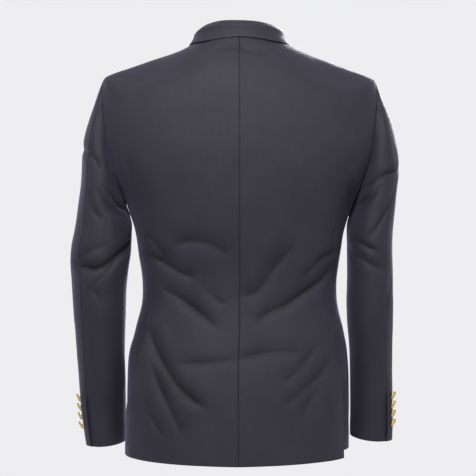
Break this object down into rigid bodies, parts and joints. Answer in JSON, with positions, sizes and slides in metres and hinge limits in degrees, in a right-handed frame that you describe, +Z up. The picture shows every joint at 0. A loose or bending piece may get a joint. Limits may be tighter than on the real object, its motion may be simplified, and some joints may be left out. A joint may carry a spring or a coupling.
{
  "type": "double-breasted suit jacket",
  "caption": "Tailored double-breasted jacket in its hollow worn form, with peak lapels, turned collar, side vents, flap pockets and domed metal buttons.",
  "frame": {"origin": "middle of the neck opening, level with the points where the shoulder seams meet the neck", "axes": "+Z up along the wearer, +X to the wearer's left, +Y to the wearer's back"},
  "size_m": [0.5522, 0.2749, 0.7211],
  "materials": {
    "wool": "fine charcoal worsted wool with a soft satin sheen",
    "brass": "polished gold-coloured metal, darker in its hollows"
  },
  "bodies": {
    "root": {"back_left": "wool", "side_body_left": "wool", "front_left": "wool", "lapel_left": "wool", "topsleeve_left": "wool", "undersleeve_left": "wool", "pocket_flap_left": "wool", "back_right": "wool", "side_body_right": "wool", "front_right": "wool", "lapel_right": "wool", "topsleeve_right": "wool", "undersleeve_right": "wool", "pocket_flap_right": "wool", "collar": "wool", "breast_welt": "wool", "front_button_1": "brass", "front_button_2": "brass", "front_button_3": "brass", "front_button_4": "brass", "front_button_5": "brass", "front_button_6": "brass", "cuff_button_left_1": "brass", "cuff_button_left_2": "brass", "cuff_button_left_3": "brass", "cuff_button_left_4": "brass", "cuff_button_right_1": "brass", "cuff_button_right_2": "brass", "cuff_button_right_3": "brass", "cuff_button_right_4": "brass"}
  },
  "joints": []
}
